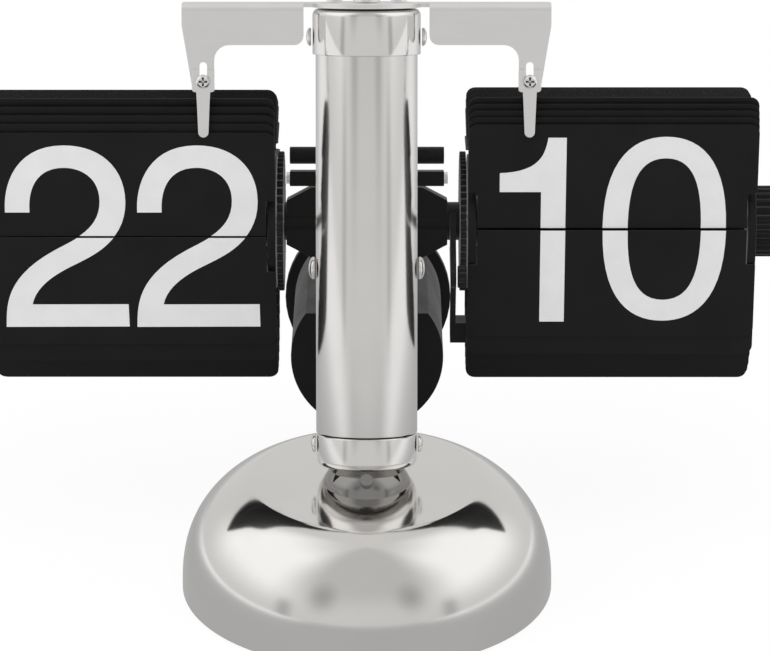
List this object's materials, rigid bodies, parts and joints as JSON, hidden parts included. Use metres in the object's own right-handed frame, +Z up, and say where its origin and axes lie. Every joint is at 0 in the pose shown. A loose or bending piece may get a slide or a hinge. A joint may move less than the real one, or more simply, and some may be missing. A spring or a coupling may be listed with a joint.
{
  "type": "flip number clock",
  "caption": "Desk flip clock with hour and minute card drums on an axle behind a leaning chrome pillar, falling flaps held by spring fingers, a domed weighted base and a setting knob.",
  "frame": {"origin": "on the table, under the centre of the domed base", "axes": "+X towards the minute drum, +Y to the back, +Z up"},
  "size_m": [0.1981, 0.1296, 0.1423],
  "materials": {
    "chrome": "polished",
    "satin_steel": "satin",
    "card_black": "semi-matt",
    "moulded_black": "moulded",
    "cast_iron": "as cast",
    "rubber": "matt",
    "cell_jacket": "plain jacket"
  },
  "bodies": {
    "stand": {"base_dome": "chrome", "pillar_neck": "chrome", "pillar_collar": "chrome", "pillar_tube": "chrome", "pillar_cap": "chrome", "cap_screw": "chrome", "collar_screw_left": "chrome", "pillar_rivet_left": "chrome", "cap_side_screw_left": "chrome", "collar_screw_right": "chrome", "pillar_rivet_right": "chrome", "cap_side_screw_right": "chrome", "base_plate": "satin_steel", "hanger_bracket": "satin_steel", "drum_axle": "satin_steel", "axle_end_nut": "satin_steel", "back_plate": "satin_steel", "carry_pin": "satin_steel", "spring_finger_left": "satin_steel", "finger_screw_left": "satin_steel", "plate_screw_left": "satin_steel", "spring_finger_right": "satin_steel", "finger_screw_right": "satin_steel", "plate_screw_right": "satin_steel", "hour_lower_card": "card_black", "hour_hanging_card": "card_black", "hour_card_pack": "card_black", "hour_standing_card_1": "card_black", "hour_standing_card_2": "card_black", "hour_standing_card_3": "card_black", "hour_standing_card_4": "card_black", "minute_lower_card": "card_black", "minute_hanging_card": "card_black", "minute_card_pack": "card_black", "minute_standing_card_1": "card_black", "minute_standing_card_2": "card_black", "minute_standing_card_3": "card_black", "minute_standing_card_4": "card_black", "hub_sleeve": "moulded_black", "axle_block": "moulded_black", "works_guard": "moulded_black", "stop_bar": "moulded_black", "pinion_arm": "moulded_black", "case_saddle": "moulded_black", "battery_case": "moulded_black", "case_cover": "moulded_black", "movement_module": "moulded_black", "base_weight": "cast_iron", "foot_pad": "rubber", "battery_cell": "cell_jacket"},
    "minute_drum": {"minute_drum": "moulded_black", "minute_pin_ring": "moulded_black", "setting_knob": "moulded_black"},
    "hour_drum": {"hour_drum": "moulded_black", "hour_pin_ring": "moulded_black"},
    "drive_pinion": {"drive_pinion": "moulded_black"},
    "minute_flap": {"minute_flap": "card_black"},
    "hour_flap": {"hour_flap": "card_black"},
    "battery_door": {"battery_door": "moulded_black"}
  },
  "joints": [
    {"name": "minute_drum_turn", "type": "hinge", "parent": "stand", "child": "minute_drum", "pos_m": [0.059, 0.03616, 0.08113], "axis": [1, 0, 0], "continuous": true},
    {"name": "hour_drum_turn", "type": "hinge", "parent": "stand", "child": "hour_drum", "pos_m": [-0.057, 0.03616, 0.08113], "axis": [1, 0, 0], "continuous": true},
    {"name": "drive_pinion_turn", "type": "hinge", "parent": "stand", "child": "drive_pinion", "pos_m": [0.023, 0.01727, 0.07426], "axis": [1, 0, 0], "continuous": true},
    {"name": "minute_flap_fall", "type": "hinge", "parent": "stand", "child": "minute_flap", "pos_m": [0.059, 0.02039, 0.0855], "axis": [1, 0, 0], "range_deg": [0, 180], "deforming": ["spring_finger_right"]},
    {"name": "hour_flap_fall", "type": "hinge", "parent": "stand", "child": "hour_flap", "pos_m": [-0.057, 0.01996, 0.08359], "axis": [1, 0, 0], "range_deg": [0, 180], "deforming": ["spring_finger_left"]},
    {"name": "battery_door_slide", "type": "slide", "parent": "stand", "child": "battery_door", "axis": [0, 0.9934, -0.1149], "range_m": [0, 0.02]}
  ],
  "couplings": [
    {"joint": "hour_drum_turn", "follows": "minute_drum_turn", "ratio": 0.020833},
    {"joint": "drive_pinion_turn", "follows": "minute_drum_turn", "ratio": -6}
  ]
}
